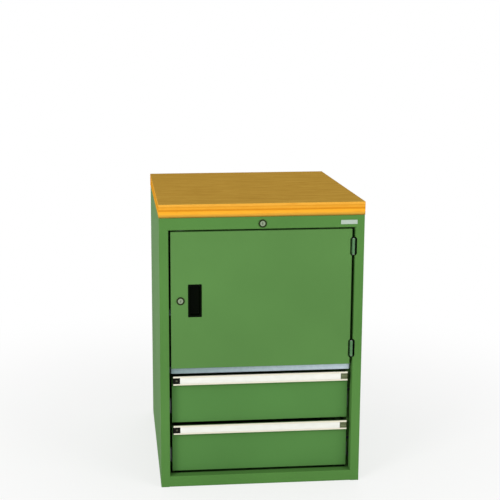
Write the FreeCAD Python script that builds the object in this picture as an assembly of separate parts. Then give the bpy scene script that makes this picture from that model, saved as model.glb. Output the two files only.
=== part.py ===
"""Steel workshop cabinet with one door, two drawers and a wooden worktop.

Millimetres, +Z up, front towards -Y, floor at z = 0, x = 0 on the centre line.
"""
import FreeCAD
import Part
import math
import os

V = FreeCAD.Vector

# Overall body
body_width = 600.0
body_depth = 650.0
body_height = 820.0
sheet = 1.5
bend = 1.0
edge_flange = 20.0

# Front frame
stile_width = 27.0
frame_return = 27.0
header_height = 36.0
plinth_height = 33.0

# Worktop
worktop_thickness = 40.0
worktop_overhang = 1.0
worktop_edge_round = 2.5
worktop_screw_length = 22.0
worktop_screw_radius = 2.5
worktop_screw_inset_x = 120.0
worktop_screw_inset_y = 90.0

# Floor fixing holes
anchor_hole_radius = 4.5
anchor_spacing_x = 480.0
anchor_spacing_y = 460.0

# Uprights that carry the runners and shelves
upright_width = 40.0
upright_foot = 12.0
upright_front_setback = 60.0
upright_rear_setback = 45.0
upright_top_gap = 26.0
slot_pitch = 50.0
slot_width = 4.0
slot_height = 20.0

# Drawers
drawer_side_gap = 8.0
drawer_front_height = 139.0
drawer_front_depth = 15.0
drawer_front_hem = 20.0
drawer_front_sheet = 1.2
drawer_gap = 14.8
drawer_floor_gap = 6.5
tray_sheet = 1.0
tray_lip = 7.0
tray_floor_lift = 8.0
tray_wall_height = 108.0
tray_rear_room = 90.0
drawer_screw_radius = 2.0
drawer_screw_length = 8.0
drawer_screw_inset = 5.0
drawer_screw_low = 14.0
drawer_screw_high = 62.0
divider_slot_count = 11
divider_slot_pitch = 45.0
divider_slot_width = 3.0
divider_slot_height = 24.0

# Telescopic ball runners
runner_thickness = 12.7
runner_sheet = 1.2
runner_height = 45.6
runner_centre_lift = 45.0
runner_rear_room = 100.0
runner_ball_radius = 1.9
runner_ball_room = 4.0
runner_side_room = 1.1
runner_lip_gap = 3.5
runner_member_trim = 10.0
runner_front_gap = 3.5
cage_sheet = 0.5
cage_length = 255.0
cage_start = 140.0
balls_per_row = 5

# Handle profile across each drawer
handle_projection = 17.0
handle_inset = 2.0
handle_height = 27.5
handle_rise = 9.5
handle_wall = 1.6
handle_lip = 4.5
handle_hook = 2.2
handle_hook_skin = 1.0
handle_groove = 1.5
handle_back_leg = 14.0
handle_curl = 3.0
label_thickness = 0.6
end_cap_thickness = 1.5
end_cap_tongue = 20.0
end_cap_button_radius = 3.0
end_cap_rib_count = 4

# Door
door_recess = 1.0
door_thickness = 22.0
door_sheet = 1.2
door_left_gap = 6.0
door_hinge_gap = 9.0
door_top_gap = 5.0
door_bottom_gap = 5.0
door_hem = 14.0
stiffener_width = 60.0
stiffener_depth = 14.0
stiffener_foot = 12.0
stiffener_end_gap = 20.0
bumper_radius = 4.0
bumper_height = 2.5
bumper_inset = 30.0
bumper_gap = 0.3
stop_width = 24.0
stop_length = 14.0
stop_sheet = 1.5

# Hinges
hinge_radius = 4.5
hinge_pin_radius = 2.0
hinge_pin_clearance = 0.05
hinge_pin_setback = 3.0
hinge_length = 46.0
hinge_plate = 1.8
hinge_knuckle_gap = 0.3
hinge_notch_width = 5.5
hinge_notch_taper = 6.0
hinge_notch_depth = 12.0
hinge_top_inset = 52.0
hinge_bottom_inset = 48.0

# Divider and shelf
divider_recess = 20.0
divider_gap = 14.5
divider_rear_gap = 5.0
divider_hem = 10.0
divider_front_height = 18.0
divider_front_side_gap = 6.5
shelf_sheet = 1.2
shelf_fold = 20.0
shelf_setback = 46.0
shelf_rear_gap = 25.0
shelf_slot_count = 3
slot_first_lift = 20.0
shelf_side_clearance = 1.0
clip_length = 9.0
clip_width = 18.0
clip_thickness = 3.0
clip_play = 0.2
clip_hook = 6.0

# Cylinder locks
lock_collar_radius = 12.0
lock_collar_height = 2.4
lock_body_radius = 9.5
lock_rotor_radius = 7.55
lock_neck_radius = 6.0
lock_neck_length = 4.0
lock_clearance = 0.05
lock_nut_width = 26.0
lock_nut_height = 6.0
keyhole_width = 2.2
keyhole_height = 8.0
keyhole_depth = 9.0
lock_face_recess = 0.3
lock_stud_radius = 4.0
lock_end_gap = 0.3
lock_cam_thickness = 2.0
lock_cam_width = 15.0
door_lock_inset = 28.0
door_cam_reach = 12.0
door_cam_gap = 1.5

# Recessed grip in the door
grip_width = 40.0
grip_height = 98.0
grip_inset = 70.0
grip_depth = 17.0
grip_wall = 2.0
grip_rim = 3.0
grip_rim_height = 0.8
grip_inner_round = 6.0
grip_corner = 2.0

# Central locking
cam_pin_radius = 2.0
cam_orbit = 8.0
crank_arm = 15.0
crank_width = 11.0
crank_pin_inset = 7.0
link_thickness = 2.0
link_gap = 0.5
slot_play = 0.45
transfer_bar_height = 14.0
locking_bar_width = 16.0
locking_bar_inset = 8.0
locking_bar_foot = 20.0
locking_bar_head = 4.5
transfer_bar_end = 5.5
central_lock_drop = 20.0
hook_overlap = 4.5
hook_height = 8.0
hook_rest_gap = 2.0
catch_lift = 88.0
catch_height = 10.0
catch_thickness = 3.0
catch_foot = 20.0
catch_gap = 1.0
guide_wall = 2.5
guide_length = 14.0
guide_play = 0.3
guide_low_z = 60.0
guide_middle_z = 400.0
guide_high_z = 700.0
guide_left_x = 60.0
guide_right_x = 200.0
crank_pin_radius = 2.5
bracket_sheet = 2.0
bracket_width = 18.0

# Blank name plate
plate_width = 48.5
plate_height = 12.4
plate_thickness = 1.0
plate_end_inset = 22.0

# Places worked out from the sizes above
side_x = body_width / 2
front_y = -body_depth / 2
back_y = body_depth / 2
inner_x = side_x - sheet
opening_x = side_x - stile_width
seam_x = opening_x + bend + sheet
header_bottom = body_height - header_height
frame_back_y = front_y + frame_return
worktop_top = body_height + worktop_thickness

drawer_x = opening_x - drawer_side_gap
drawer_face_y = frame_back_y
drawer_bottom = [plinth_height + drawer_floor_gap]
drawer_bottom.append(drawer_bottom[0] + drawer_front_height + drawer_gap)
drawer_back_of_front = drawer_face_y + drawer_front_depth
handle_face_y = drawer_face_y - handle_projection
handle_end_x = drawer_x - handle_inset
tray_x = drawer_x - tray_lip
upright_face_x = tray_x + runner_thickness
upright_front_y = front_y + upright_front_setback
upright_rear_y = back_y - upright_rear_setback - upright_width
upright_top = body_height - upright_top_gap
runner_front_y = drawer_back_of_front + runner_front_gap
runner_length = body_depth - runner_rear_room
tray_length = body_depth - tray_rear_room

divider_bottom = drawer_bottom[1] + drawer_front_height + divider_gap
divider_top = divider_bottom + divider_front_height
divider_face_y = front_y + divider_recess
door_bottom = divider_top + door_bottom_gap
door_top = header_bottom - door_top_gap
door_left_x = -opening_x + door_left_gap
door_right_x = opening_x - door_hinge_gap
door_face_y = front_y + door_recess
door_back_y = door_face_y + door_thickness
door_middle_z = (door_top + door_bottom) / 2
hinge_x = opening_x - door_hinge_gap / 2
hinge_y = front_y + hinge_pin_setback
hinge_levels = [door_bottom + hinge_bottom_inset, door_top - hinge_top_inset]
grip_x = door_left_x + grip_inset
door_lock_x = door_left_x + door_lock_inset
central_lock_z = body_height - central_lock_drop
slot_first = divider_top + slot_first_lift
shelf_under = slot_first + shelf_slot_count * slot_pitch + clip_thickness

# Layers of the locking gear, from the catch on the drawer forwards
catch_front_y = drawer_back_of_front + catch_gap
bar_back_y = catch_front_y - link_gap
crank_back_y = bar_back_y - link_thickness - link_gap
transfer_back_y = crank_back_y - link_thickness - link_gap
cam_back_y = transfer_back_y - link_thickness - link_gap
pin_angle = math.radians(45)
bar_lift = 2 * cam_orbit * math.sin(pin_angle)
crank_rest = math.asin(bar_lift / 2 / crank_arm)
hook_tip_x = tray_x + runner_thickness - hook_overlap
bar_outer_x = side_x - locking_bar_inset
bar_inner_x = bar_outer_x - locking_bar_width
crank_x = bar_inner_x + crank_pin_inset - crank_arm * math.cos(crank_rest)
crank_z = central_lock_z + crank_arm - cam_orbit


def box(x0, x1, y0, y1, z0, z1):
    """A block between three pairs of limits."""
    return Part.makeBox(x1 - x0, y1 - y0, z1 - z0, V(x0, y0, z0))


def rod(radius, start, direction, length):
    """A round bar from a start point."""
    return Part.makeCylinder(radius, length, V(*start), V(*direction))


def mirrored(shape):
    """The same shape on the other side of the centre plane."""
    return shape.mirror(V(0, 0, 0), V(1, 0, 0))


def pair(shape):
    """A right-hand shape with its left-hand twin, as two solids."""
    return [mirrored(shape), shape]


def merged(shapes):
    """Several touching or overlapping shapes as one clean solid."""
    return shapes[0].fuse(shapes[1:]).removeSplitter()


def rounded_path(points, radii):
    """Lines through points of a plane, with an arc of each radius at the inner points."""
    edges = []
    start = points[0]
    for corner, following, radius in zip(points[1:-1], points[2:], radii):
        before = (corner - start).normalize()
        after = (following - corner).normalize()
        turn = before.getAngle(after)
        trim = radius * math.tan(turn / 2)
        begin = corner - before * trim
        end = corner + after * trim
        centre = begin + (after - before * before.dot(after)).normalize() * radius
        middle = centre + (corner - centre).normalize() * radius
        edges.append(Part.LineSegment(start, begin).toShape())
        edges.append(Part.Arc(begin, middle, end).toShape())
        start = end
    edges.append(Part.LineSegment(start, points[-1]).toShape())
    return edges


def bent_sheet(path, thickness, plane, start, length):
    """A folded sheet: the path is one skin of its section, the metal lies to its left.

    The plane is xy, xz or yz, and the section runs from start along the third axis.
    """
    flat = [V(u, v, 0) for u, v in path]
    ways = [(b - a).normalize() for a, b in zip(flat, flat[1:])]
    normals = [V(-way.y, way.x, 0) for way in ways]
    inner = [flat[0] + normals[0] * thickness]
    outer_radii = []
    inner_radii = []
    for index in range(1, len(flat) - 1):
        both = normals[index - 1] + normals[index]
        share = 1 + normals[index - 1].dot(normals[index])
        inner.append(flat[index] + both * (thickness / share))
        turns_left = ways[index - 1].cross(ways[index]).z > 0
        outer_radii.append(bend + thickness if turns_left else bend)
        inner_radii.append(bend if turns_left else bend + thickness)
    inner.append(flat[-1] + normals[-1] * thickness)
    edges = rounded_path(flat, outer_radii)
    edges.append(Part.LineSegment(flat[-1], inner[-1]).toShape())
    edges += rounded_path(inner[::-1], inner_radii[::-1])
    edges.append(Part.LineSegment(inner[0], flat[0]).toShape())
    section = Part.Face(Part.Wire(Part.__sortEdges__(edges)))
    along = -length if plane == "xz" else length
    solid = section.extrude(V(0, 0, along))
    solid.Placement = plane_placement(plane, start).multiply(solid.Placement)
    return solid


def plane_placement(plane, start):
    """Where a section drawn in x and y goes, for each of the three planes."""
    if plane == "xy":
        return FreeCAD.Placement(V(0, 0, start), FreeCAD.Rotation())
    if plane == "yz":
        turn = FreeCAD.Rotation(V(0, 1, 0), V(0, 0, 1), V(1, 0, 0), "XYZ")
        return FreeCAD.Placement(V(start, 0, 0), turn)
    turn = FreeCAD.Rotation(V(1, 0, 0), V(0, 0, 1), V(0, -1, 0), "XYZ")
    return FreeCAD.Placement(V(0, start, 0), turn)


def slots_up(x0, x1, y, width, height, first, last, pitch):
    """A column of upright slots through a sheet."""
    count = int((last - first - height) / pitch) + 1
    return [box(x0, x1, y - width / 2, y + width / 2, first + n * pitch, first + n * pitch + height)
            for n in range(count)]


def hinge_notch(edge_x, way):
    """The tapered notches at the hinges in the edge of the door or the stile."""
    notches = []
    half = hinge_length / 2
    for level in hinge_levels:
        past = hinge_notch_taper * (1 + sheet / hinge_notch_width)
        outline = [V(edge_x - way * sheet, 0, level - half - past),
                   V(edge_x, 0, level - half - hinge_notch_taper),
                   V(edge_x + way * hinge_notch_width, 0, level - half),
                   V(edge_x + way * hinge_notch_width, 0, level + half),
                   V(edge_x, 0, level + half + hinge_notch_taper),
                   V(edge_x - way * sheet, 0, level + half + past)]
        face = Part.Face(Part.makePolygon(outline + [outline[0]]))
        face.translate(V(0, front_y - sheet, 0))
        notches.append(face.extrude(V(0, hinge_notch_depth + sheet, 0)))
    return notches


def side_sheet():
    """Side wall with the stile, its return and the back edge folded from one sheet."""
    path = [(opening_x, frame_back_y), (opening_x, front_y), (side_x, front_y),
            (side_x, back_y), (side_x - edge_flange, back_y)]
    panel = bent_sheet(path, sheet, "xy", 0, body_height)
    reach = frame_back_y + sheet
    above = box(opening_x - sheet, seam_x, front_y - sheet, reach, header_bottom, body_height + sheet)
    below = box(opening_x - sheet, seam_x, front_y - sheet, reach, -sheet, plinth_height)
    return panel.cut([above, below])


def left_side():
    """The left side wall, the same sheet without the hinge notches."""
    return mirrored(side_sheet())


def right_side():
    """The right side wall with the notches for the hinges in its stile."""
    return side_sheet().cut(hinge_notch(opening_x, 1))


def back_panel():
    """Flat rear sheet inside the side walls' back edges, with folds forward at its sides."""
    rear = back_y - sheet
    fold = rear - edge_flange
    path = [(inner_x, fold), (inner_x, rear), (-inner_x, rear), (-inner_x, fold)]
    return bent_sheet(path, sheet, "xy", sheet, body_height - 2 * sheet)


def top_panel():
    """Closed top sheet under the worktop, with folds down at its sides."""
    start = front_y + edge_flange
    path = [(inner_x, body_height - edge_flange), (inner_x, body_height),
            (-inner_x, body_height), (-inner_x, body_height - edge_flange)]
    panel = bent_sheet(path, sheet, "xz", start, back_y - sheet - start)
    corner = box(inner_x - sheet - bend, side_x, back_y - sheet - edge_flange, back_y,
                 body_height - edge_flange - sheet, body_height - sheet)
    holes = [rod(worktop_screw_radius, (x, y, body_height - 2 * sheet), (0, 0, 1), 3 * sheet)
             for x, y in worktop_screw_places()]
    return panel.cut([corner, mirrored(corner)] + holes)


def base_panel():
    """Floor sheet with folds up at its sides and four anchor holes."""
    start = front_y + edge_flange
    path = [(-inner_x, edge_flange), (-inner_x, 0), (inner_x, 0), (inner_x, edge_flange)]
    panel = bent_sheet(path, sheet, "xz", start, back_y - sheet - start)
    corner = box(inner_x - sheet - bend, side_x, back_y - sheet - edge_flange, back_y,
                 sheet, edge_flange + sheet)
    holes = [rod(anchor_hole_radius, (x, y, -sheet), (0, 0, 1), 3 * sheet)
             for x in (-anchor_spacing_x / 2, anchor_spacing_x / 2)
             for y in (-anchor_spacing_y / 2, anchor_spacing_y / 2)]
    return panel.cut([corner, mirrored(corner)] + holes)


def header_rail():
    """Folded rail between the stiles under the worktop, with the hole for the lock."""
    path = [(front_y + edge_flange, body_height), (front_y, body_height),
            (front_y, header_bottom), (frame_back_y, header_bottom)]
    rail = bent_sheet(path, sheet, "yz", -seam_x, 2 * seam_x)
    hole = rod(lock_body_radius, (0, front_y - sheet, central_lock_z), (0, 1, 0), 3 * sheet)
    corner = box(opening_x, seam_x + sheet, front_y + sheet + bend, frame_back_y + sheet,
                 header_bottom - sheet, header_bottom + sheet + bend)
    return rail.cut([hole, corner, mirrored(corner)])


def plinth_rail():
    """Folded rail at the floor between the stiles."""
    path = [(frame_back_y, plinth_height), (front_y, plinth_height), (front_y, 0),
            (front_y + edge_flange, 0)]
    rail = bent_sheet(path, sheet, "yz", -seam_x, 2 * seam_x)
    corner = box(opening_x, seam_x + sheet, front_y + sheet + bend, frame_back_y + sheet,
                 plinth_height - sheet - bend, plinth_height + sheet)
    return rail.cut([corner, mirrored(corner)])


def worktop_screw_places():
    """Where the four worktop screws stand."""
    x = side_x - worktop_screw_inset_x
    front = front_y + worktop_screw_inset_y
    rear = back_y - worktop_screw_inset_y
    return [(-x, front), (x, front), (-x, rear), (x, rear)]


def worktop():
    """Laminated wooden board with rounded edges and pilot holes below."""
    reach = side_x + worktop_overhang
    board = box(-reach, reach, front_y - worktop_overhang, back_y, body_height, worktop_top)
    board = board.makeFillet(worktop_edge_round, board.Edges)
    holes = [rod(worktop_screw_radius, (x, y, body_height - sheet), (0, 0, 1), worktop_screw_length + sheet)
             for x, y in worktop_screw_places()]
    return board.cut(holes)


def worktop_screws():
    """Four screws from below, heads under the top sheet."""
    screws = []
    for x, y in worktop_screw_places():
        under = body_height - sheet
        shank = rod(worktop_screw_radius, (x, y, under), (0, 0, 1), worktop_screw_length)
        head = Part.makeCone(1.5 * worktop_screw_radius, 2 * worktop_screw_radius, sheet,
                             V(x, y, under - sheet))
        screws.append(merged([shank, head]))
    return screws


def name_plate():
    """Blank plate at the right of the header, on the header and the stile."""
    right = side_x - plate_end_inset
    low = central_lock_z - plate_height / 2
    plate = box(right - plate_width, right, front_y - plate_thickness, front_y, low, low + plate_height)
    edges = [edge for edge in plate.Edges if abs(edge.tangentAt(edge.FirstParameter).y) > 0.5]
    return plate.makeFillet(plate_thickness, edges)


def upright(start_y):
    """Hat-shaped upright on the right wall, slotted for shelf clips."""
    end_y = start_y + upright_width
    path = [(inner_x, start_y - upright_foot), (inner_x, start_y),
            (upright_face_x + sheet, start_y), (upright_face_x + sheet, end_y),
            (inner_x, end_y), (inner_x, end_y + upright_foot)]
    post = bent_sheet(path, sheet, "xy", edge_flange, upright_top - edge_flange)
    slots = slots_up(upright_face_x - sheet, upright_face_x + 2 * sheet, start_y + upright_width / 2,
                     slot_width, slot_height, slot_first, upright_top, slot_pitch)
    return post.cut(slots)


def divider_shelf():
    """Bright shelf between the cupboard and the drawers, its front fold showing under the door."""
    rear = back_y - 2 * sheet - divider_rear_gap
    path = [(divider_face_y + divider_hem, divider_bottom), (divider_face_y, divider_bottom),
            (divider_face_y, divider_top), (frame_back_y + sheet, divider_top)]
    lip_x = opening_x - divider_front_side_gap
    front = bent_sheet(path[::-1], shelf_sheet, "yz", -lip_x, 2 * lip_x)
    folds = [(upright_face_x, divider_bottom), (upright_face_x, divider_top),
             (-upright_face_x, divider_top), (-upright_face_x, divider_bottom)]
    start = frame_back_y + sheet
    deck = bent_sheet(folds, shelf_sheet, "xz", start, rear - start)
    return merged([front, deck])


def cupboard_shelf():
    """Loose shelf with its front and rear edges folded down."""
    front = front_y + shelf_setback
    rear = back_y - 2 * sheet - shelf_rear_gap
    top = shelf_under + shelf_sheet
    path = [(rear, top - shelf_fold), (rear, top), (front, top), (front, top - shelf_fold)]
    reach = upright_face_x - shelf_side_clearance
    return bent_sheet(path, shelf_sheet, "yz", -reach, 2 * reach)


def shelf_clip(middle_y):
    """Clip through an upright's slot, with a ledge under the shelf and a hook behind the sheet."""
    inside = upright_face_x
    ledge = box(inside - clip_length, inside, middle_y - clip_width / 2, middle_y + clip_width / 2,
                shelf_under - clip_thickness, shelf_under)
    half = slot_width / 2 - clip_play
    tongue = box(inside - clip_length / 2, inside + sheet + clip_thickness + clip_play,
                 middle_y - half, middle_y + half, shelf_under - clip_thickness, shelf_under)
    hook = box(inside + sheet + clip_play, inside + sheet + clip_play + clip_thickness,
               middle_y - half, middle_y + half, shelf_under - clip_thickness - clip_hook, shelf_under)
    return merged([ledge, tongue, hook])


def runner_levels(z):
    """Half heights of the outer, middle and inner runner rails, and the two rows of balls."""
    outer = runner_height / 2
    middle = outer - runner_sheet - runner_ball_room
    inner = middle - runner_sheet - runner_ball_room
    outer_balls = outer - runner_sheet - runner_ball_room / 2
    inner_balls = middle - runner_sheet - runner_ball_room / 2
    return outer, middle, inner, outer_balls, inner_balls


def channel_inwards(skin_x, lip_x, half, z, thickness, start, length):
    """A channel whose web stands at skin_x and whose lips point to the drawer."""
    path = [(lip_x, z - half), (skin_x, z - half), (skin_x, z + half), (lip_x, z + half)]
    return bent_sheet(path, thickness, "xz", start, length)


def outer_rail(z):
    """Right runner rail fixed to the uprights."""
    outer = runner_levels(z)[0]
    lip_x = tray_x + runner_lip_gap
    return channel_inwards(upright_face_x, lip_x, outer, z, runner_sheet, runner_front_y, runner_length)


def middle_rail(z):
    """Right runner rail that travels half as far as the drawer."""
    middle = runner_levels(z)[1]
    lip_x = tray_x + runner_lip_gap
    skin_x = upright_face_x - runner_sheet - runner_side_room
    length = runner_length - runner_member_trim
    return channel_inwards(skin_x, lip_x, middle, z, runner_sheet, runner_front_y, length)


def inner_rail(z):
    """Right runner rail fixed to the drawer's side."""
    inner = runner_levels(z)[2]
    lip_x = upright_face_x - 2 * (runner_sheet + runner_side_room) - bend / 2
    path = [(lip_x, z + inner), (tray_x, z + inner), (tray_x, z - inner), (lip_x, z - inner)]
    return bent_sheet(path, runner_sheet, "xz", runner_front_y, runner_length - runner_member_trim)


def ball_places(z, half):
    """Where the balls of one retainer stand along the rail, top and bottom."""
    first = runner_front_y + cage_start + cage_length / balls_per_row / 2
    step = cage_length / balls_per_row
    return [(first + n * step, z + side * half) for n in range(balls_per_row) for side in (-1, 1)]


def ball_retainer(z, skin_x, lip_x, balls_half):
    """One ball cage with its balls, as separate solids."""
    half = balls_half + cage_sheet / 2
    cage = channel_inwards(skin_x, lip_x, half, z, cage_sheet, runner_front_y + cage_start, cage_length)
    ball_x = (skin_x + lip_x) / 2
    places = ball_places(z, balls_half)
    holes = [rod(runner_ball_room / 2, (ball_x, y, level - 2 * cage_sheet), (0, 0, 1), 4 * cage_sheet)
             for y, level in places]
    balls = [Part.makeSphere(runner_ball_radius, V(ball_x, y, level)) for y, level in places]
    return [cage.cut(holes)] + balls


def outer_retainer(z):
    """Retainer between the outer and the middle rail."""
    skin_x = upright_face_x - runner_sheet - (runner_side_room - cage_sheet) / 2
    return ball_retainer(z, skin_x, tray_x + runner_lip_gap + cage_sheet, runner_levels(z)[3])


def inner_retainer(z):
    """Retainer between the middle and the inner rail."""
    skin_x = upright_face_x - 2 * runner_sheet - runner_side_room - (runner_side_room - cage_sheet) / 2
    return ball_retainer(z, skin_x, tray_x + runner_lip_gap - cage_sheet, runner_levels(z)[4])


def pan(x0, x1, y0, y1, z0, z1, skin, hem):
    """A shallow box folded from sheet, open at the back inside a hem."""
    outside = box(x0, x1, y0, y1, z0, z1)
    edges = [edge for edge in outside.Edges if abs(edge.CenterOfMass.y - y0) < skin]
    outside = outside.makeFillet(bend, edges)
    inside = box(x0 + skin, x1 - skin, y0 + skin, y1 - skin, z0 + skin, z1 - skin)
    window = box(x0 + hem, x1 - hem, y1 - 2 * skin, y1 + skin, z0 + hem, z1 - hem)
    return outside.cut([inside, window])


def drawer_front(bottom):
    """Folded front pan, screwed to the tray behind it."""
    front = pan(-drawer_x, drawer_x, drawer_face_y, drawer_back_of_front, bottom,
                bottom + drawer_front_height, drawer_front_sheet, drawer_front_hem)
    return front.cut(drawer_screw_holes(bottom))


def drawer_screw_places(bottom):
    """Where the tray is screwed to the front's side hems."""
    x = drawer_x - drawer_front_hem + drawer_screw_inset
    return [(side * x, bottom + tray_floor_lift + lift) for side in (-1, 1)
            for lift in (drawer_screw_low, drawer_screw_high)]


def drawer_screw_holes(bottom):
    """Clear holes through the hem and the tray's front wall."""
    start = drawer_back_of_front - 2 * drawer_front_sheet
    length = 2 * drawer_front_sheet + 2 * tray_sheet
    return [rod(drawer_screw_radius, (x, start, z), (0, 1, 0), length)
            for x, z in drawer_screw_places(bottom)]


def drawer_screws(bottom):
    """Four pan-head screws from inside the tray."""
    screws = []
    wall = drawer_back_of_front + tray_sheet
    for x, z in drawer_screw_places(bottom):
        shank = rod(drawer_screw_radius, (x, wall - drawer_screw_length, z), (0, 1, 0), drawer_screw_length)
        head = rod(2 * drawer_screw_radius, (x, wall, z), (0, 1, 0), drawer_screw_radius)
        head = head.makeFillet(drawer_screw_radius / 2, [head.Edges[0]])
        screws.append(merged([shank, head]))
    return screws


def drawer_tray(bottom):
    """Slotted tray folded from one sheet, with end walls."""
    low = bottom + tray_floor_lift
    top = low + tray_wall_height
    front = drawer_back_of_front
    rear = front + tray_length
    path = [(-tray_x - tray_lip, top), (-tray_x, top), (-tray_x, low),
            (tray_x, low), (tray_x, top), (tray_x + tray_lip, top)]
    body = bent_sheet(path, tray_sheet, "xz", front, tray_length)
    reach = tray_x - tray_sheet / 2
    walls = [box(-reach, reach, y, y + tray_sheet, low + tray_sheet / 2, top)
             for y in (front, rear - tray_sheet)]
    slot_low = top - divider_slot_height - 2 * tray_sheet - 2 * bend
    first = (front + rear) / 2 - divider_slot_pitch * (divider_slot_count - 1) / 2
    slots = [box(-tray_x - tray_sheet, tray_x + tray_sheet, y - divider_slot_width / 2,
                 y + divider_slot_width / 2, slot_low, slot_low + divider_slot_height)
             for y in [first + n * divider_slot_pitch for n in range(divider_slot_count)]]
    return merged([body] + walls).cut(slots + drawer_screw_holes(bottom))


def drawer_catch(bottom):
    """Angle on the tray's right side that the locking bar's hook stops."""
    low = bottom + catch_lift
    top = low + catch_height
    tab = box(tray_x, tray_x + runner_thickness, catch_front_y, catch_front_y + catch_thickness, low, top)
    foot = box(tray_x, tray_x + catch_thickness, catch_front_y, catch_front_y + catch_foot, low, top)
    return merged([foot, tab])


def handle_limits(bottom):
    """Lower and upper edge of the handle's front wall on the drawer with this lower edge."""
    high = bottom + drawer_front_height + handle_rise
    return high - handle_height, high


def handle_profile(bottom):
    """Aluminium grip with a label channel, its web level with the top of the drawer front."""
    low, high = handle_limits(bottom)
    top = bottom + drawer_front_height
    back = drawer_face_y
    front = handle_face_y
    plate = front + handle_hook
    behind = plate + handle_wall
    lip = handle_lip
    hook = front + handle_hook_skin
    groove = handle_groove
    outline = [(behind, high), (front, high), (front, high - lip), (hook, high - lip),
               (hook, high - lip + groove), (plate, high - lip + groove),
               (plate, low + lip - groove), (hook, low + lip - groove),
               (hook, low + lip), (front, low + lip), (front, low),
               (behind + handle_curl, low), (behind + handle_curl, low + handle_wall),
               (behind, low + handle_wall), (behind, top - handle_wall),
               (back - handle_wall, top - handle_wall), (back - handle_wall, top - handle_back_leg),
               (back, top - handle_back_leg), (back, top), (behind, top)]
    end = handle_end_x - end_cap_thickness
    points = [V(-end, y, z) for y, z in outline]
    face = Part.Face(Part.makePolygon(points + [points[0]]))
    bar = face.extrude(V(2 * end, 0, 0))
    rounded = [edge for edge in bar.Edges
               if abs(edge.CenterOfMass.y - front) < 0.01 and edge.Length > end
               and min(abs(edge.CenterOfMass.z - high), abs(edge.CenterOfMass.z - low)) < 0.01]
    return bar.makeFillet(handle_hook_skin, rounded)


def label_strip(bottom):
    """Blank label between the lips of the handle, from one end cap to the other."""
    low, high = handle_limits(bottom)
    end = handle_end_x - end_cap_thickness - end_cap_tongue - clip_play
    plate = handle_face_y + handle_hook
    reach = handle_lip - handle_groove + clip_play
    return box(-end, end, plate - label_thickness, plate, low + reach, high - reach)


def end_cap(bottom, details):
    """Right end cap: a closing plate, and a tongue with details in the label channel."""
    low, high = handle_limits(bottom)
    inner = handle_end_x - end_cap_thickness
    plate = box(inner, handle_end_x, handle_face_y, drawer_face_y, low, high)
    edges = [edge for edge in plate.Edges
             if edge.CenterOfMass.x > handle_end_x - 0.01 and edge.CenterOfMass.y < drawer_face_y - 0.01]
    plate = plate.makeFillet(bend, edges)
    tongue_low = low + handle_lip + clip_play
    tongue_top = high - handle_lip - clip_play
    tongue = box(inner - end_cap_tongue, inner + end_cap_thickness / 2, handle_face_y + handle_hook / 2,
                 handle_face_y + handle_hook, tongue_low, tongue_top)
    return merged([plate, tongue] + details(inner, tongue_low, tongue_top))


def cap_ribs(inner, low, top):
    """Level ribs across a cap's tongue."""
    pitch = (top - low) / end_cap_rib_count
    back = handle_face_y + handle_hook / 2 + clip_play
    return [box(inner - end_cap_tongue + bend, inner - bend, handle_face_y + clip_play, back,
                low + (n + 0.25) * pitch, low + (n + 0.75) * pitch)
            for n in range(end_cap_rib_count)]


def cap_button(inner, low, top):
    """Round boss on a cap's tongue."""
    start = handle_face_y + clip_play
    length = handle_hook / 2
    middle = (inner - end_cap_tongue / 2, start, (low + top) / 2)
    return [rod(end_cap_button_radius, middle, (0, 1, 0), length)]


def door_panel():
    """Folded door pan with notches at the hinges and holes for the lock and the grip."""
    panel = pan(door_left_x, door_right_x, door_face_y, door_back_y, door_bottom, door_top,
                door_sheet, door_hem)
    lock_hole = rod(lock_body_radius, (door_lock_x, door_face_y - door_sheet, door_middle_z), (0, 1, 0),
                    3 * door_sheet)
    half_x = grip_width / 2 - grip_rim
    half_z = grip_height / 2 - grip_rim
    grip_hole = box(grip_x - half_x, grip_x + half_x, door_face_y - door_sheet,
                    door_face_y + 2 * door_sheet, door_middle_z - half_z, door_middle_z + half_z)
    return panel.cut(hinge_notch(door_right_x, -1) + [lock_hole, grip_hole])


def door_stiffener():
    """Upright hat section inside the door."""
    middle = (door_left_x + door_right_x) / 2
    near = door_face_y + door_sheet
    far = near + stiffener_depth
    half = stiffener_width / 2
    path = [(middle - half - stiffener_foot, near), (middle - half, near), (middle - half, far),
            (middle + half, far), (middle + half, near), (middle + half + stiffener_foot, near)]
    length = door_top - door_bottom - 2 * stiffener_end_gap
    return bent_sheet(path, door_sheet, "xy", door_bottom + stiffener_end_gap, length)


def grip_cup():
    """Recessed finger grip with a thin rim on the door's face."""
    half_x = grip_width / 2
    half_z = grip_height / 2
    rim = box(grip_x - half_x, grip_x + half_x, door_face_y - grip_rim_height, door_face_y,
              door_middle_z - half_z, door_middle_z + half_z)
    corners = [edge for edge in rim.Edges if abs(edge.tangentAt(edge.FirstParameter).y) > 0.5]
    rim = rim.makeFillet(grip_corner, corners)
    half_x -= grip_rim
    half_z -= grip_rim
    body = box(grip_x - half_x, grip_x + half_x, door_face_y, door_face_y + grip_depth,
               door_middle_z - half_z, door_middle_z + half_z)
    half_x -= grip_wall
    half_z -= grip_wall
    hollow = box(grip_x - half_x, grip_x + half_x, door_face_y - 2 * grip_rim_height,
                 door_face_y + grip_depth - grip_wall, door_middle_z - half_z, door_middle_z + half_z)
    deep = [edge for edge in hollow.Edges if edge.CenterOfMass.y > door_face_y + grip_wall]
    hollow = hollow.makeFillet(grip_inner_round, deep)
    return merged([rim, body]).cut(hollow)


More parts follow.
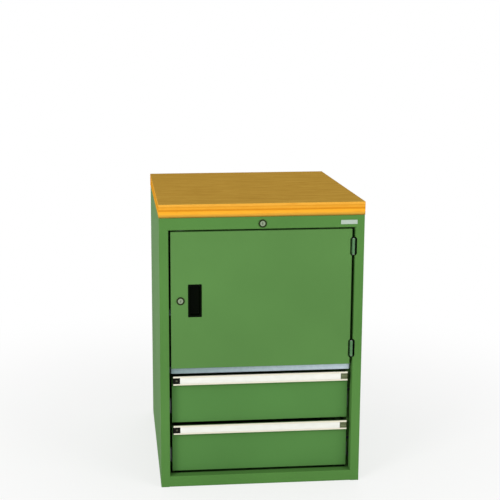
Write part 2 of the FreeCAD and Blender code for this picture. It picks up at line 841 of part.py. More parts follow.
def lock_housing(x, z, face_y, cam_front_y):
    """Cylinder lock body with its collar on the sheet's face."""
    collar = rod(lock_collar_radius, (x, face_y - lock_collar_height, z), (0, 1, 0), lock_collar_height)
    rim_y = face_y - lock_collar_height
    front_edge = [edge for edge in collar.Edges if abs(edge.CenterOfMass.y - rim_y) < 0.01]
    collar = collar.makeFillet(lock_collar_height / 2, front_edge)
    end = cam_front_y - lock_end_gap
    body = rod(lock_body_radius, (x, face_y, z), (0, 1, 0), end - face_y)
    neck_start = end - lock_neck_length
    bore_start = face_y - 2 * lock_collar_height
    bore = rod(lock_rotor_radius + lock_clearance, (x, bore_start, z), (0, 1, 0), neck_start - bore_start)
    neck = rod(lock_neck_radius + lock_clearance, (x, neck_start - bend, z), (0, 1, 0),
               2 * lock_neck_length)
    return merged([collar, body]).cut([bore, neck])


def lock_rotor(x, z, face_y, cam_front_y):
    """Turning plug with a keyhole, its neck and the stud for the cam."""
    start = face_y - lock_collar_height + lock_face_recess
    shoulder = cam_front_y - lock_end_gap - lock_neck_length - lock_end_gap
    plug = rod(lock_rotor_radius, (x, start, z), (0, 1, 0), shoulder - start)
    neck = rod(lock_neck_radius, (x, shoulder, z), (0, 1, 0), cam_front_y - shoulder)
    stud = rod(lock_stud_radius, (x, cam_front_y, z), (0, 1, 0), lock_cam_thickness)
    keyhole = box(x - keyhole_width / 2, x + keyhole_width / 2, start - lock_face_recess,
                  start + keyhole_depth, z - keyhole_height / 2, z + keyhole_height / 2)
    return merged([plug, neck, stud]).cut(keyhole)


def lock_nut(x, z, back_of_sheet_y):
    """Hexagon nut clamping the housing from behind."""
    radius = lock_nut_width / math.sqrt(3)
    corners = [V(x + radius * math.cos(math.radians(60 * n)), back_of_sheet_y,
                 z + radius * math.sin(math.radians(60 * n))) for n in range(7)]
    nut = Part.Face(Part.makePolygon(corners)).extrude(V(0, lock_nut_height, 0))
    return nut.cut(rod(lock_body_radius, (x, back_of_sheet_y - bend, z), (0, 1, 0), 2 * lock_nut_height))


def door_lock_cam():
    """Tongue behind the door that turns to reach behind the left stile."""
    start = frame_back_y + door_cam_gap
    reach = door_lock_x + opening_x + door_cam_reach
    half = lock_cam_width / 2
    tongue = box(door_lock_x - half, door_lock_x + half, start, start + lock_cam_thickness,
                 door_middle_z - reach, door_middle_z + half)
    corners = [edge for edge in tongue.Edges if abs(edge.tangentAt(edge.FirstParameter).y) > 0.5]
    tongue = tongue.makeFillet(bend, corners)
    return tongue.cut(rod(lock_stud_radius, (door_lock_x, start - bend, door_middle_z), (0, 1, 0),
                          2 * lock_cam_thickness))


def central_lock_cam():
    """Disc with an offset pin that pushes the transfer bar sideways."""
    start = cam_back_y - lock_cam_thickness
    disc = rod(cam_orbit + 2 * cam_pin_radius, (0, start, central_lock_z), (0, 1, 0), lock_cam_thickness)
    x = -cam_orbit * math.sin(pin_angle)
    z = central_lock_z - cam_orbit * math.cos(pin_angle)
    pin = rod(cam_pin_radius, (x, start, z), (0, 1, 0), transfer_back_y + link_gap / 2 - start)
    hole = rod(lock_stud_radius, (0, start - bend, central_lock_z), (0, 1, 0), 2 * lock_cam_thickness)
    return merged([disc, pin]).cut(hole)


def long_slot(x0, x1, z0, z1, back):
    """A round-ended slot through a link, around a pin's travel in x or in z."""
    radius = min(x1 - x0, z1 - z0) / 2
    slot = box(x0, x1, back - 2 * link_thickness, back + link_thickness, z0, z1)
    edges = [edge for edge in slot.Edges if abs(edge.tangentAt(edge.FirstParameter).y) > 0.5]
    return slot.makeFillet(radius * 0.98, edges)


def transfer_bar():
    """Flat bar from the lock to the crank, with an upright slot at each pin."""
    cam_x = -cam_orbit * math.sin(pin_angle)
    crank_pin_x = crank_x - crank_arm * math.sin(crank_rest)
    low = central_lock_z - transfer_bar_height
    bar = box(cam_x - transfer_bar_end - cam_pin_radius, crank_pin_x + transfer_bar_end,
              transfer_back_y - link_thickness, transfer_back_y, low, central_lock_z)
    room = cam_pin_radius + slot_play
    cam_slot = long_slot(cam_x - room, cam_x + room, central_lock_z - cam_orbit - room,
                         central_lock_z - cam_orbit * math.cos(pin_angle) + room, transfer_back_y)
    crank_slot = long_slot(crank_pin_x - room, crank_pin_x + room, crank_z - crank_arm - room,
                           crank_z - crank_arm * math.cos(crank_rest) + room, transfer_back_y)
    return bar.cut([cam_slot, crank_slot])


def bell_crank():
    """Angle lever that turns the sideways push into a lift, with a pin on each arm."""
    front = crank_back_y - link_thickness
    sine = crank_arm * math.sin(crank_rest)
    cosine = crank_arm * math.cos(crank_rest)
    input_pin = (crank_x - sine, crank_z - cosine)
    output_pin = (crank_x + cosine, crank_z - sine)
    plates = [rod(crank_width / 2, (crank_x, front, crank_z), (0, 1, 0), link_thickness)]
    for x, z in (input_pin, output_pin):
        plates.append(arm_plate(x, z, front))
        plates.append(rod(crank_width / 2, (x, front, z), (0, 1, 0), link_thickness))
    pins = [rod(cam_pin_radius, (input_pin[0], transfer_back_y - link_thickness, input_pin[1]), (0, 1, 0),
                crank_back_y - transfer_back_y + link_thickness),
            rod(cam_pin_radius, (output_pin[0], front, output_pin[1]), (0, 1, 0), bar_back_y - front)]
    bore = rod(crank_pin_radius + lock_clearance, (crank_x, front - bend, crank_z), (0, 1, 0),
               2 * link_thickness)
    return merged(plates + pins).cut(bore)


def arm_plate(x, z, front):
    """Flat arm of the crank from its pivot to a pin."""
    way = V(x - crank_x, 0, z - crank_z).normalize()
    across = V(-way.z, 0, way.x) * (crank_width / 2)
    pivot = V(crank_x, front, crank_z)
    end = V(x, front, z)
    corners = [pivot + across, end + across, end - across, pivot - across, pivot + across]
    return Part.Face(Part.makePolygon(corners)).extrude(V(0, link_thickness, 0))


def locking_bar():
    """Upright bar with a slot for the crank's pin, and a hook riveted under each drawer's catch."""
    front = bar_back_y - link_thickness
    pin_x = crank_x + crank_arm * math.cos(crank_rest)
    pin_z = crank_z - crank_arm * math.sin(crank_rest)
    bar = box(bar_inner_x, bar_outer_x, front, bar_back_y, locking_bar_foot, pin_z + locking_bar_head)
    room = cam_pin_radius + slot_play
    slot = long_slot(pin_x - room, crank_x + crank_arm + room, pin_z - room, pin_z + room, bar_back_y)
    pieces = [bar.cut(slot)]
    for bottom in drawer_bottom:
        top = bottom + catch_lift - hook_rest_gap
        pieces.append(box(hook_tip_x, bar_inner_x, front, bar_back_y, top - hook_height, top))
    return pieces


def crank_bracket():
    """Bracket under the top sheet with the crank's pivot pin."""
    back = catch_front_y + bracket_sheet
    half = bracket_width / 2
    under = body_height - sheet
    plate = box(crank_x - half, crank_x + half, catch_front_y, back, crank_z - half, under)
    foot = box(crank_x - half, crank_x + half, catch_front_y, back + bracket_width,
               under - bracket_sheet, under)
    start = crank_back_y - link_thickness
    pivot = rod(crank_pin_radius, (crank_x, start, crank_z), (0, 1, 0), back - start)
    return merged([plate, foot, pivot])


def bar_guides():
    """Plastic guides: three for the locking bar on the right wall, two for the transfer bar."""
    gap = guide_play
    wall = guide_play + guide_wall
    front = bar_back_y - link_thickness
    guides = []
    for z in (guide_low_z, guide_middle_z, guide_high_z):
        block = box(bar_inner_x - wall, inner_x, front - wall, bar_back_y + wall, z, z + guide_length)
        way = box(bar_inner_x - gap, bar_outer_x + gap, front - gap, bar_back_y + gap, z - wall,
                  z + guide_length + wall)
        guides.append(block.cut(way))
    front = transfer_back_y - link_thickness
    low = central_lock_z - transfer_bar_height
    for x in (guide_left_x, guide_right_x):
        block = box(x, x + guide_length, front - wall, transfer_back_y + wall, low - wall,
                    body_height - sheet)
        way = box(x - wall, x + guide_length + wall, front - gap, transfer_back_y + gap, low - gap,
                  central_lock_z + gap)
        guides.append(block.cut(way))
    return guides


def hinge_parts(level):
    """Frame leaf, door leaf and pin of one hinge."""
    third = hinge_length / 3
    low = level - hinge_length / 2
    top = low + hinge_length
    clear = hinge_y + hinge_radius + bend
    gap = hinge_knuckle_gap
    frame_leaf = [box(opening_x - hinge_plate, opening_x, clear, frame_back_y - bend, low, top)]
    for start, end in ((low, low + third - gap), (top - third + gap, top)):
        frame_leaf.append(rod(hinge_radius, (hinge_x, hinge_y, start), (0, 0, 1), end - start))
        frame_leaf.append(box(opening_x - hinge_plate, opening_x, hinge_y, clear, start, end))
    door_leaf = [box(door_right_x, door_right_x + hinge_plate, clear, door_back_y, low, top),
                 rod(hinge_radius, (hinge_x, hinge_y, low + third), (0, 0, 1), third),
                 box(door_right_x, door_right_x + hinge_plate, hinge_y, clear, low + third, top - third)]
    bore = rod(hinge_pin_radius + hinge_pin_clearance, (hinge_x, hinge_y, low - bend), (0, 0, 1),
               hinge_length + 2 * bend)
    pin = rod(hinge_pin_radius, (hinge_x, hinge_y, low), (0, 0, 1), hinge_length)
    heads = [rod(hinge_radius - bend, (hinge_x, hinge_y, z), (0, 0, 1), bend) for z in (low - bend, top)]
    return merged(frame_leaf).cut(bore), merged(door_leaf).cut(bore), merged([pin] + heads)


def bumper_places():
    """Middle of each rubber bumper on the door's hem."""
    x = door_left_x + bumper_inset
    return [(x, door_bottom + door_hem / 2), (x, door_top - door_hem / 2)]


def door_bumpers():
    """Two rubber bumpers on the back of the door."""
    return [rod(bumper_radius, (x, door_back_y, z), (0, 1, 0), bumper_height) for x, z in bumper_places()]


def door_stops():
    """Two angles on the frame that the bumpers meet when the door is shut."""
    near = door_back_y + bumper_height + bumper_gap
    x = door_left_x + bumper_inset - stop_width / 2
    far = near + stop_sheet
    hanging = [(far, header_bottom - stop_length), (far, header_bottom), (far - stop_length, header_bottom)]
    standing = [(near, divider_top + stop_length), (near, divider_top), (near + stop_length, divider_top)]
    upper = bent_sheet(hanging, stop_sheet, "yz", x, stop_width)
    lower = bent_sheet(standing, stop_sheet, "yz", x, stop_width)
    return [lower, upper]


def both_drawers(nodes):
    """Every piece of the two drawers and their runners."""
    levels = [bottom + runner_centre_lift for bottom in drawer_bottom]
    nodes["outer_rails"] = [solid for z in levels for solid in pair(outer_rail(z))]
    for name, bottom in zip(("lower", "upper"), drawer_bottom):
        z = bottom + runner_centre_lift
        nodes[name + "_tray"] = drawer_tray(bottom)
        nodes[name + "_front"] = drawer_front(bottom)
        nodes[name + "_screws"] = drawer_screws(bottom)
        nodes[name + "_handle"] = handle_profile(bottom)
        nodes[name + "_label"] = label_strip(bottom)
        nodes[name + "_catch"] = drawer_catch(bottom)
        nodes[name + "_end_cap_left"] = mirrored(end_cap(bottom, cap_button))
        nodes[name + "_end_cap_right"] = end_cap(bottom, cap_ribs)
        nodes[name + "_inner_rails"] = pair(inner_rail(z))
        nodes[name + "_middle_rails"] = pair(middle_rail(z))
        nodes[name + "_outer_cages"] = [solid for part in outer_retainer(z) for solid in pair(part)]
        nodes[name + "_inner_cages"] = [solid for part in inner_retainer(z) for solid in pair(part)]


def frame_and_shelves(nodes):
    """Everything fixed to the body."""
    nodes["left_side_panel"] = left_side()
    nodes["right_side_panel"] = right_side()
    nodes["back_panel"] = back_panel()
    nodes["top_panel"] = top_panel()
    nodes["base_panel"] = base_panel()
    nodes["header_rail"] = header_rail()
    nodes["plinth_rail"] = plinth_rail()
    nodes["worktop"] = worktop()
    nodes["worktop_screws"] = worktop_screws()
    nodes["name_plate"] = name_plate()
    nodes["uprights"] = pair(upright(upright_front_y)) + pair(upright(upright_rear_y))
    nodes["divider_shelf"] = divider_shelf()
    nodes["cupboard_shelf"] = cupboard_shelf()
    clips = [shelf_clip(y + upright_width / 2) for y in (upright_front_y, upright_rear_y)]
    nodes["shelf_clips"] = [solid for clip in clips for solid in pair(clip)]
    nodes["door_stops"] = door_stops()


def door_and_hinges(nodes):
    """The door, what it carries, and its hinges."""
    nodes["door_panel"] = door_panel()
    nodes["door_stiffener"] = door_stiffener()
    nodes["grip_cup"] = grip_cup()
    nodes["door_bumpers"] = door_bumpers()
    hinges = [hinge_parts(level) for level in hinge_levels]
    nodes["hinge_frame_leaves"] = [hinge[0] for hinge in hinges]
    nodes["hinge_door_leaves"] = [hinge[1] for hinge in hinges]
    nodes["hinge_pins"] = [hinge[2] for hinge in hinges]
    cam_front = frame_back_y + door_cam_gap
    nodes["door_lock_housing"] = lock_housing(door_lock_x, door_middle_z, door_face_y, cam_front)
    nodes["door_lock_rotor"] = lock_rotor(door_lock_x, door_middle_z, door_face_y, cam_front)
    nodes["door_lock_nut"] = lock_nut(door_lock_x, door_middle_z, door_face_y + door_sheet)
    nodes["door_lock_cam"] = door_lock_cam()


def central_locking(nodes):
    """The lock in the header and the gear that locks both drawers."""
    cam_front = cam_back_y - lock_cam_thickness
    nodes["central_lock_housing"] = lock_housing(0, central_lock_z, front_y, cam_front)
    nodes["central_lock_rotor"] = lock_rotor(0, central_lock_z, front_y, cam_front)
    nodes["central_lock_nut"] = lock_nut(0, central_lock_z, front_y + sheet)
    nodes["central_lock_cam"] = central_lock_cam()
    nodes["transfer_bar"] = transfer_bar()
    nodes["bell_crank"] = bell_crank()
    nodes["locking_bar"] = locking_bar()
    nodes["crank_bracket"] = crank_bracket()
    nodes["bar_guides"] = bar_guides()


def export(nodes):
    """One file for each node; repeated pieces go out as separate solids together."""
    os.makedirs("parts", exist_ok=True)
    for name, shape in nodes.items():
        if isinstance(shape, list):
            shape = Part.makeCompound(shape)
        shape.exportStep("parts/" + name + ".step")


pieces = {}
frame_and_shelves(pieces)
door_and_hinges(pieces)
central_locking(pieces)
both_drawers(pieces)
export(pieces)
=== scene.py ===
"""Looks, light and camera for the steel workshop cabinet."""
import math

import bpy
from mathutils import Matrix, Vector

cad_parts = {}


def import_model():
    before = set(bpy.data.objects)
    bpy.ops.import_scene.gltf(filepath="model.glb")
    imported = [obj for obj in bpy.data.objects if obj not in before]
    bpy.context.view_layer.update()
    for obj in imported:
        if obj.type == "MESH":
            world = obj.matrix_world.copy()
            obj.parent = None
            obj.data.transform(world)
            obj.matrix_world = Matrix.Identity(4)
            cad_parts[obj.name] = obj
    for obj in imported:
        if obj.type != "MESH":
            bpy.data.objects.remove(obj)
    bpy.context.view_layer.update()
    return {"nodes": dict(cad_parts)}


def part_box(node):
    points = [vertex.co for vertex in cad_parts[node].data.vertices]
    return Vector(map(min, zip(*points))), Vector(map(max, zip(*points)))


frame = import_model()
nodes = frame["nodes"]

# Lengths are in metres, colours in sRGB of 0 to 255, lamp powers in watts.
WHITE = (1, 1, 1, 1)
WORLD_LIGHT = 0.58

# The floor's half edge, the radius up to which it keeps the whole shadow, the
# radius from which it is white, and its share of white inside the first one.
FLOOR_REACH = 14.0
FLOOR_SHADOW_RADIUS = 0.5
FLOOR_WHITE_RADIUS = 1.8
FLOOR_GLOW = 0.7

# Name, place, aim, edge and power of each lamp.
LAMPS = [
    ("key", (-2.9, -3.1, 1.9), (0, -0.3, 0.45), 1.4, 78.0),
    ("fill", (2.4, -2.6, 1.8), (0, 0, 0.65), 1.8, 37.0),
    ("rear", (0.5, 3.2, 2.6), (0, 0, 0.5), 2.0, 25.0),
]

# The photograph's viewpoint, with angles in radians and lens and sensor in mm.
CAMERA_PLACE = (-0.4227, -3.2861, 1.3590)
CAMERA_YAW, CAMERA_PITCH, CAMERA_ROLL = 0.0813, -0.1816, -0.0033
CAMERA_LENS = 75.78
CAMERA_SENSOR = 36.0
CAMERA_SHIFT = (0.10, -0.06)

# Depth of the step behind an end cap's raised marks, where painted shade on the tongue meets
# painted highlight on the marks.
CAP_STEP = 0.0007

# Where each ply stands, as a share of the worktop's thickness, and its colour; the dark brown
# at the bottom is partly the bottom veneer, partly painted shade.
PLIES_AND_SHADE_LINE = [
    (0.00, (74, 56, 14)), (0.035, (96, 74, 22)), (0.07, (176, 134, 54)),
    (0.18, (212, 156, 56)), (0.30, (240, 170, 50)), (0.44, (240, 168, 46)),
    (0.50, (208, 136, 30)), (0.58, (212, 138, 32)), (0.63, (228, 160, 50)),
    (0.74, (226, 158, 48)), (0.78, (208, 138, 34)), (0.82, (230, 166, 60)),
    (1.00, (232, 170, 64)),
]

# How far the plies wander, as a share of the thickness, and their darker flecks.
PLY_WAVE = 0.05
FLECK_COLOUR = (204, 124, 20)
FLECK_SHARES = [(0.52, (0, 0, 0, 1)), (0.75, (0.35, 0.35, 0.35, 1))]

# Faces whose normal points up or down by more than this show the veneer.
VENEER_UPRIGHT = 0.6
VENEER_TONES = [(0.28, (166, 124, 46)), (0.5, (190, 147, 58)), (0.72, (204, 163, 72))]
VENEER_FINE_TONES = [(0.3, (160, 120, 46)), (0.7, (208, 168, 80))]
VENEER_FINE_SHARE = 0.35

# Positions on a texture's value, and the colours there.
# The zinc's two ramps are a painted reflection: painted shade at the sheet's left end, painted
# sheen at its right.
ZINC_PAINTED_SHEEN = [(0.0, (186, 202, 213)), (1.0, (198, 213, 224))]
ZINC_PAINTED_SHADE = [(0.0, (126, 150, 153)), (1.0, (138, 160, 163))]
CARD_TONES = [(0.3, (229, 230, 222)), (0.7, (236, 236, 229))]
FLOOR_TONES = [(0.3, (243, 243, 242)), (0.7, (246, 246, 245))]


def linear(value):
    """One sRGB channel of 0 to 255 as linear light."""
    c = value / 255.0
    return c / 12.92 if c <= 0.04045 else ((c + 0.055) / 1.055) ** 2.4


def rgb(r, g, b):
    """An sRGB colour as a linear colour with alpha."""
    return (linear(r), linear(g), linear(b), 1.0)


def shaded(colour, factor):
    """A linear colour times a factor."""
    return tuple(min(1.0, c * factor) for c in colour[:3]) + (1.0,)


class Maker:
    """A material with a Principled shader, and short ways to add its nodes."""

    def __init__(self, name, rough, metallic=0.0, specular=0.5):
        self.material = bpy.data.materials.new(name)
        self.material.use_nodes = True
        self.tree = self.material.node_tree
        self.shader = self.tree.nodes["Principled BSDF"]
        self.shader.inputs["Roughness"].default_value = rough
        self.shader.inputs["Metallic"].default_value = metallic
        self.shader.inputs["Specular IOR Level"].default_value = specular
        self.place = self.add("ShaderNodeTexCoord").outputs["Object"]

    def add(self, kind, **values):
        """A node with its properties and input values set."""
        node = self.tree.nodes.new(kind)
        for key, value in values.items():
            if hasattr(node, key):
                setattr(node, key, value)
            else:
                node.inputs[key.replace("_", " ")].default_value = value
        return node

    def link(self, source, target):
        """One link between two sockets."""
        self.tree.links.new(source, target)

    def stretched(self, scale):
        """The object's coordinates times a scale for each axis."""
        node = self.add("ShaderNodeMapping", Scale=scale)
        self.link(self.place, node.inputs["Vector"])
        return node.outputs["Vector"]

    def noise(self, scale, stretch=(1, 1, 1), detail=3.0, rough=0.5, distortion=0.0):
        """The value of a noise texture over the piece."""
        node = self.add("ShaderNodeTexNoise", Scale=scale, Detail=detail, Roughness=rough,
                        Distortion=distortion)
        self.link(self.stretched(stretch), node.inputs["Vector"])
        return node.outputs[0]

    def math(self, operation, a, b=0.0):
        """An operation on two sockets or numbers."""
        node = self.add("ShaderNodeMath", operation=operation)
        for socket, value in zip(node.inputs, (a, b)):
            if isinstance(value, (int, float)):
                socket.default_value = value
            else:
                self.link(value, socket)
        return node.outputs[0]

    def ramp(self, value, stops):
        """A ramp of linear colours over a value."""
        node = self.add("ShaderNodeValToRGB")
        elements = node.color_ramp.elements
        while len(elements) < len(stops):
            elements.new(0.5)
        for element, (position, colour) in zip(elements, stops):
            element.position = position
            element.color = colour
        self.link(value, node.inputs["Fac"])
        return node.outputs["Color"]

    def tones(self, value, stops):
        """A ramp of sRGB colours over a value."""
        return self.ramp(value, [(position, rgb(*tone)) for position, tone in stops])

    def clouded(self, value, colour, spread, low=0.3, high=0.7):
        """A colour that goes from darker to paler by a spread over a value."""
        return self.ramp(value, [(low, shaded(colour, 1 - spread)),
                                 (high, shaded(colour, 1 + spread))])

    def mix(self, share, a, b):
        """A mix of two colours. Sockets 0, 6 and 7 are a colour mix's share, A and B."""
        node = self.add("ShaderNodeMix", data_type="RGBA")
        for index, value in ((0, share), (6, a), (7, b)):
            socket = node.inputs[index]
            if isinstance(value, (int, float, tuple)):
                socket.default_value = value
            else:
                self.link(value, socket)
        return node.outputs[2]

    def colour(self, socket):
        """Base colour from a socket."""
        self.link(socket, self.shader.inputs["Base Color"])

    def roughness(self, value, low, high):
        """Roughness between two values by a texture."""
        node = self.add("ShaderNodeMapRange", To_Min=low, To_Max=high)
        self.link(value, node.inputs["Value"])
        self.link(node.outputs["Result"], self.shader.inputs["Roughness"])

    def bump(self, value, distance, strength):
        """Small relief from a texture."""
        node = self.add("ShaderNodeBump", Distance=distance, Strength=strength)
        self.link(value, node.inputs["Height"])
        self.link(node.outputs["Normal"], self.shader.inputs["Normal"])

    def axis(self, source, index):
        """One part of a vector or colour: 0, 1 or 2."""
        node = self.add("ShaderNodeSeparateXYZ")
        self.link(source, node.inputs[0])
        return node.outputs[index]


def paint(name, colour):
    """Powder coat: slight clouding of the colour and a fine orange peel."""
    m = Maker(name, rough=0.52, specular=0.03)
    m.colour(m.clouded(m.noise(scale=3.0, detail=2.0), colour, spread=0.06))
    m.roughness(m.noise(scale=60.0), low=0.48, high=0.57)
    m.bump(m.noise(scale=650.0, detail=1.0), distance=0.00006, strength=0.5)
    return m.material


def metal(name, colour, rough, stretch=(1, 1, 1), scale=500.0, spread=0.12, metallic=1.0):
    """Plain metal with fine marks along one way."""
    m = Maker(name, rough, metallic)
    marks = m.noise(scale, stretch, detail=4.0)
    m.colour(m.clouded(marks, colour, spread, low=0.25, high=0.75))
    m.roughness(marks, low=rough - 0.08, high=rough + 0.1)
    m.bump(marks, distance=0.00002, strength=0.5)
    return m.material


def galvanised(name):
    """Zinc-coated sheet with faint crystals, painted darker at the left as shade and paler at
    the right as sheen.
    """
    m = Maker(name, rough=0.42, metallic=0.35)
    cells = m.add("ShaderNodeTexVoronoi", Scale=130.0)
    m.link(m.place, cells.inputs["Vector"])
    tone = m.axis(cells.outputs["Color"], 0)
    # Painted reflection: the colour goes from painted shade at the divider's left end to
    # painted sheen at its right.
    left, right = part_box("divider_shelf")
    sheen_across = m.add("ShaderNodeMapRange", From_Min=left[0], From_Max=right[0])
    m.link(m.axis(m.place, 0), sheen_across.inputs["Value"])
    painted_shade, painted_sheen = m.tones(tone, ZINC_PAINTED_SHADE), m.tones(tone, ZINC_PAINTED_SHEEN)
    m.colour(m.mix(sheen_across.outputs["Result"], painted_shade, painted_sheen))
    m.roughness(tone, low=0.34, high=0.5)
    m.bump(m.noise(scale=300.0), distance=0.00003, strength=0.4)
    return m.material


def moulded(m, cloud, rough):
    """Gloss and fine grain of a moulded surface."""
    m.roughness(cloud, low=rough - 0.05, high=rough + 0.05)
    m.bump(m.noise(scale=900.0, detail=1.0), distance=0.00005, strength=0.4)


def plastic(name, colour, rough, specular=0.5):
    """Moulded plastic or rubber."""
    m = Maker(name, rough, specular=specular)
    cloud = m.noise(scale=40.0)
    m.colour(m.clouded(cloud, colour, spread=0.1))
    moulded(m, cloud, rough)
    return m.material


def end_cap(name, recess_shade, raised):
    """Moulded cap whose raised marks are paler than the tongue behind them: painted highlight
    on the marks, painted shade on the tongue.
    """
    rough = 0.5
    m = Maker(name, rough, specular=0.1)
    low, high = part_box("upper_handle")
    # Painted highlight and shade: faces in front of the step take the paler colour, the tongue
    # behind it takes the darker one.
    front = m.math("LESS_THAN", m.axis(m.place, 1), low[1] + CAP_STEP)
    inner = m.math("LESS_THAN", m.math("ABSOLUTE", m.axis(m.place, 0)), high[0] - CAP_STEP)
    cloud = m.noise(scale=40.0)
    shaded_tongue = m.clouded(cloud, recess_shade, spread=0.1)
    pale = m.clouded(cloud, raised, spread=0.1)
    m.colour(m.mix(m.math("MULTIPLY", front, inner), shaded_tongue, pale))
    moulded(m, cloud, rough)
    return m.material


def paper(name):
    """Label card with a faint fibre tone."""
    m = Maker(name, rough=0.6)
    fibre = m.noise(scale=90.0, stretch=(0.4, 1, 1))
    m.colour(m.tones(fibre, CARD_TONES))
    m.roughness(fibre, low=0.5, high=0.65)
    return m.material


def board(name):
    """Laminated board: veneer above and below, thin plies on its edges, darkest at the bottom
    of the edges, partly as painted shade.
    """
    m = Maker(name, rough=0.6, specular=0.0)
    low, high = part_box("worktop")
    height = m.math("SUBTRACT", m.axis(m.place, 2), low[2])
    share = m.math("DIVIDE", height, high[2] - low[2])

    grain = m.noise(scale=6.0, stretch=(1.2, 14, 1), detail=6.0, rough=0.62, distortion=0.6)
    fine = m.noise(scale=40.0, stretch=(1.0, 22, 1), detail=4.0)
    veneer = m.mix(VENEER_FINE_SHARE, m.tones(grain, VENEER_TONES),
                   m.tones(fine, VENEER_FINE_TONES))

    streak = m.noise(scale=3.0, stretch=(2, 2, 60), detail=4.0)
    wave = m.math("MULTIPLY", m.math("SUBTRACT", streak, 0.5), PLY_WAVE)
    # The plies' dark bottom band is partly the bottom veneer and partly painted shade under
    # the worktop.
    plies = m.tones(m.math("ADD", share, wave), PLIES_AND_SHADE_LINE)
    fleck = m.noise(scale=9.0, stretch=(3, 3, 40), detail=3.0)
    edge = m.mix(m.ramp(fleck, FLECK_SHARES), plies, rgb(*FLECK_COLOUR))

    facing = m.add("ShaderNodeTexCoord").outputs["Normal"]
    flat = m.math("GREATER_THAN", m.math("ABSOLUTE", m.axis(facing, 2)), VENEER_UPRIGHT)
    m.colour(m.mix(flat, edge, veneer))
    m.roughness(grain, low=0.55, high=0.68)
    m.bump(fine, distance=0.00008, strength=0.5)
    return m.material


materials = {
    "frame": paint("frame_paint", rgb(83, 129, 64)),
    "door": paint("door_paint", rgb(87, 130, 69)),
    "drawer": paint("drawer_paint", rgb(83, 130, 68)),
    "galvanised": galvanised("galvanised"),
    "zinc": metal("zinc_plate", rgb(178, 182, 184), 0.38),
    "gear": metal("phosphated_steel", rgb(50, 52, 52), 0.5, metallic=0.6),
    "rail": metal("rolled_steel", rgb(122, 127, 130), 0.38, stretch=(1, 0.04, 1)),
    "hinge": metal("hinge_steel", rgb(80, 125, 80), 0.34, metallic=0.3),
    "handle": metal("anodised", rgb(232, 227, 208), 0.42, stretch=(0.02, 1, 1), scale=900.0,
                    spread=0.05, metallic=0.35),
    "plate": metal("plate_metal", rgb(174, 190, 176), 0.4, stretch=(0.03, 1, 1), scale=700.0,
                   spread=0.05, metallic=0.5),
    # Lock collars: chrome, coloured dark green-grey as a painted reflection of the dark, green
    # surroundings.
    "lock": metal("lock_painted_reflection", rgb(46, 58, 32), 0.25, spread=0.05),
    "plug": metal("plug_metal", rgb(150, 164, 138), 0.32, spread=0.08),
    "label": paper("label_card"),
    "cap_black": end_cap("cap_black", rgb(8, 8, 4), rgb(76, 76, 60)),
    # The right end caps are the same black plastic as the left ones; their olive-grey is a
    # painted reflection.
    "cap_olive": end_cap("cap_olive", rgb(54, 60, 32), rgb(126, 135, 101)),
    "grip": plastic("grip_black", rgb(3, 8, 1), 0.4, specular=0.03),
    "guide": plastic("guide_plastic", rgb(38, 38, 38), 0.5),
    "rubber": plastic("rubber", rgb(30, 30, 30), 0.8),
    "wood": board("laminated_board"),
}

looks = {
    "frame": ["header_rail", "plinth_rail", "top_panel", "base_panel", "uprights",
              "right_side_panel", "left_side_panel", "back_panel"],
    "door": ["door_panel", "door_stiffener"],
    "drawer": ["lower_tray", "upper_tray", "lower_front", "upper_front"],
    "galvanised": ["divider_shelf", "cupboard_shelf"],
    "zinc": ["worktop_screws", "shelf_clips", "door_stops", "crank_bracket", "hinge_pins",
             "central_lock_nut", "door_lock_nut", "door_lock_cam", "lower_screws",
             "upper_screws"],
    "gear": ["central_lock_cam", "bell_crank", "transfer_bar", "locking_bar", "lower_catch",
             "upper_catch"],
    "rail": ["outer_rails", "lower_middle_rails", "upper_middle_rails", "lower_inner_rails",
             "upper_inner_rails", "lower_outer_cages", "upper_outer_cages",
             "lower_inner_cages", "upper_inner_cages"],
    "hinge": ["hinge_frame_leaves", "hinge_door_leaves"],
    "handle": ["lower_handle", "upper_handle"],
    "plate": ["name_plate"],
    "lock": ["central_lock_housing", "door_lock_housing"],
    "plug": ["central_lock_rotor", "door_lock_rotor"],
    "label": ["lower_label", "upper_label"],
    "cap_black": ["lower_end_cap_left", "upper_end_cap_left"],
    # Right end caps: black plastic with a painted reflection.
    "cap_olive": ["lower_end_cap_right", "upper_end_cap_right"],
    "grip": ["grip_cup"],
    "guide": ["bar_guides"],
    "rubber": ["door_bumpers"],
    "wood": ["worktop"],
}
for look, names in looks.items():
    for name in names:
        slots = nodes[name].data.materials
        slots.clear()
        slots.append(materials[look])


def background_rays(tree):
    """1 for the rays that show the background: from the camera, off gloss or through glass."""
    path = tree.nodes.new("ShaderNodeLightPath")
    share = path.outputs["Is Camera Ray"]
    for kind in ("Is Glossy Ray", "Is Transmission Ray"):
        either = tree.nodes.new("ShaderNodeMath")
        either.operation = "MAXIMUM"
        tree.links.new(share, either.inputs[0])
        tree.links.new(path.outputs[kind], either.inputs[1])
        share = either.outputs[0]
    return share


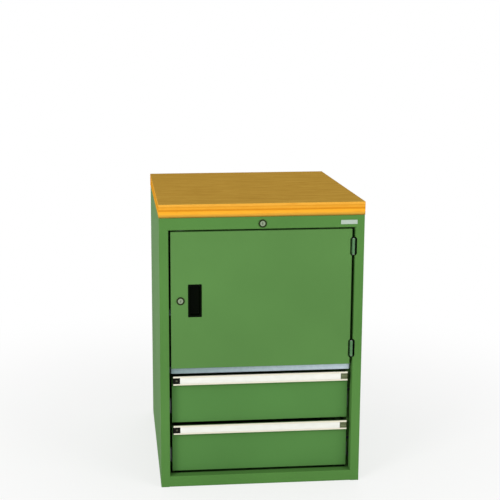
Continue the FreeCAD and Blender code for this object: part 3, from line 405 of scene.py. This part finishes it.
def floor():
    """A wide pale floor that keeps the cabinet's shadow and fades to white around it."""
    mesh = bpy.data.meshes.new("floor")
    signs = ((-1, -1), (1, -1), (1, 1), (-1, 1))
    corners = [(x * FLOOR_REACH, y * FLOOR_REACH, 0) for x, y in signs]
    mesh.from_pydata(corners, [], [(0, 1, 2, 3)])
    thing = bpy.data.objects.new("floor", mesh)
    bpy.context.scene.collection.objects.link(thing)
    m = Maker("floor", rough=0.9, specular=0.0)
    m.colour(m.tones(m.noise(scale=1.5), FLOOR_TONES))

    distance = m.add("ShaderNodeVectorMath", operation="LENGTH")
    m.link(m.place, distance.inputs[0])
    fade = m.add("ShaderNodeMapRange", interpolation_type="SMOOTHSTEP",
                 From_Min=FLOOR_SHADOW_RADIUS, From_Max=FLOOR_WHITE_RADIUS,
                 To_Min=FLOOR_GLOW, To_Max=1.0)
    m.link(distance.outputs["Value"], fade.inputs["Value"])
    share = m.math("MULTIPLY", fade.outputs["Result"], background_rays(m.tree))
    glow = m.add("ShaderNodeEmission")
    blend = m.add("ShaderNodeMixShader")
    m.link(share, blend.inputs["Fac"])
    m.link(m.shader.outputs[0], blend.inputs[1])
    m.link(glow.outputs[0], blend.inputs[2])
    m.link(blend.outputs[0], m.tree.nodes["Material Output"].inputs["Surface"])
    mesh.materials.append(m.material)


def area_light(name, place, target, size, power):
    """A square soft light aimed at a point."""
    data = bpy.data.lights.new(name, "AREA")
    data.size = size
    data.energy = power
    lamp = bpy.data.objects.new(name, data)
    turn = (Vector(target) - Vector(place)).to_track_quat("-Z", "Y").to_matrix().to_4x4()
    lamp.matrix_world = Matrix.Translation(place) @ turn
    bpy.context.scene.collection.objects.link(lamp)


def world():
    """White where the background is seen, softer for the light on the cabinet."""
    studio = bpy.data.worlds.new("studio")
    bpy.context.scene.world = studio
    studio.use_nodes = True
    tree = studio.node_tree
    tree.nodes.clear()
    mixer = tree.nodes.new("ShaderNodeMixShader")
    out = tree.nodes.new("ShaderNodeOutputWorld")
    tree.links.new(background_rays(tree), mixer.inputs["Fac"])
    for index, strength in ((1, WORLD_LIGHT), (2, 1.0)):
        light = tree.nodes.new("ShaderNodeBackground")
        light.inputs["Color"].default_value = WHITE
        light.inputs["Strength"].default_value = strength
        tree.links.new(light.outputs[0], mixer.inputs[index])
    tree.links.new(mixer.outputs[0], out.inputs["Surface"])


def camera():
    """The photograph's viewpoint: left of the cabinet, above it, a long lens."""
    yaw, pitch, roll = CAMERA_YAW, CAMERA_PITCH, CAMERA_ROLL
    level = math.cos(pitch)
    ahead = Vector((math.sin(yaw) * level, math.cos(yaw) * level, math.sin(pitch)))
    right = Vector((math.cos(yaw), -math.sin(yaw), 0))
    up = right.cross(ahead)
    rolled_right = right * math.cos(roll) + up * math.sin(roll)
    rolled_up = up * math.cos(roll) - right * math.sin(roll)
    data = bpy.data.cameras.new("camera")
    data.lens = CAMERA_LENS
    data.sensor_width = CAMERA_SENSOR
    data.shift_x, data.shift_y = CAMERA_SHIFT
    eye = bpy.data.objects.new("camera", data)
    turn = Matrix((rolled_right, rolled_up, -ahead)).transposed().to_4x4()
    eye.matrix_world = Matrix.Translation(CAMERA_PLACE) @ turn
    bpy.context.scene.collection.objects.link(eye)
    bpy.context.scene.camera = eye


floor()
world()
for lamp in LAMPS:
    area_light(*lamp)
camera()
bpy.context.scene.view_settings.view_transform = "Standard"
